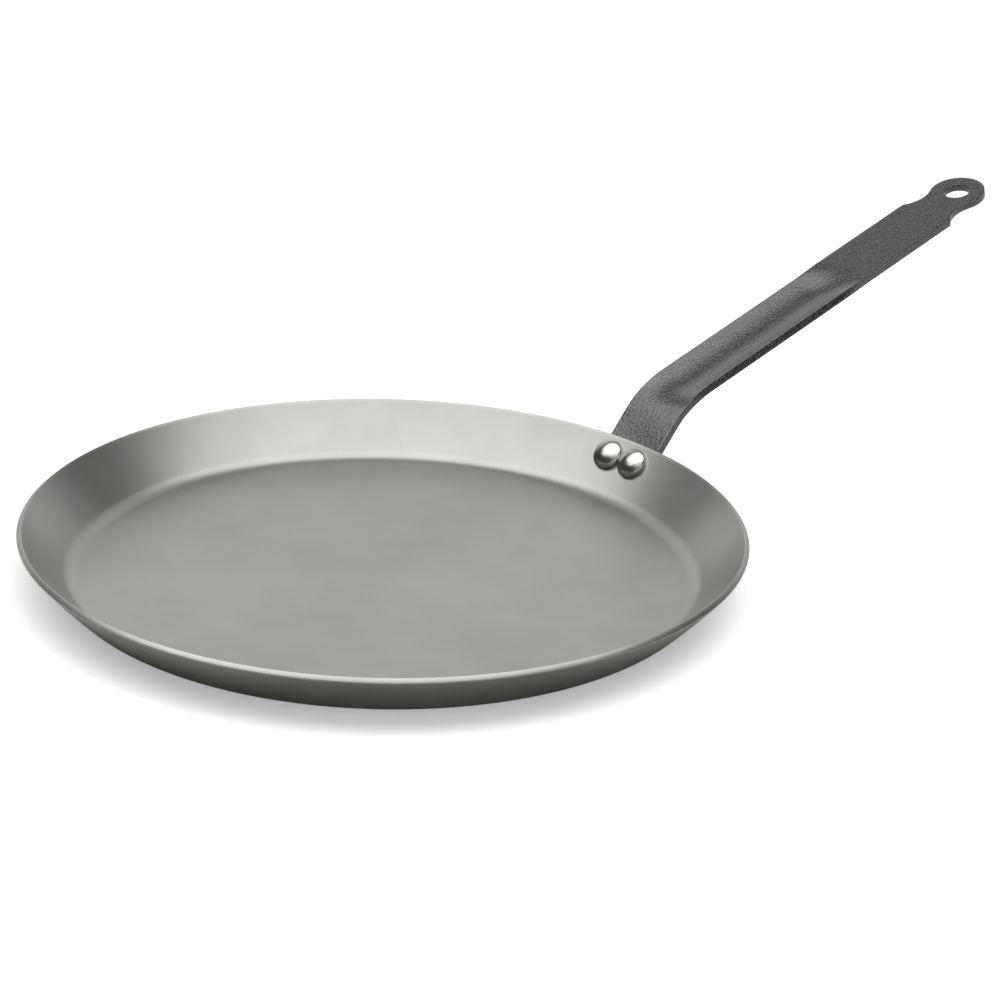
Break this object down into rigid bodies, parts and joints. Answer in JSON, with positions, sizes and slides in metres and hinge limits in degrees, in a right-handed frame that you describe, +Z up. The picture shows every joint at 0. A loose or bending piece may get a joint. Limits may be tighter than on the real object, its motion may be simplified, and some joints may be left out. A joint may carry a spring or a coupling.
{
  "type": "crepe pan",
  "caption": "Shallow round frying pan with a flat floor, a low flared wall and a long bent strip handle, riveted on and ending in a round hanging eye.",
  "frame": {"origin": "middle of the base, on the surface that the pan stands on", "axes": "+Z up, +X along the handle from the pan's middle"},
  "size_m": [0.5239, 0.2998, 0.0943],
  "materials": {
    "pan_steel": "matt bare carbon steel, faintly mottled by the mill",
    "handle_coating": "textured dark grey powder coating on steel strip",
    "rivet_steel": "satin steel"
  },
  "bodies": {
    "root": {"pan_body": "pan_steel", "handle": "handle_coating", "rivet_left": "rivet_steel", "rivet_right": "rivet_steel"}
  },
  "joints": []
}
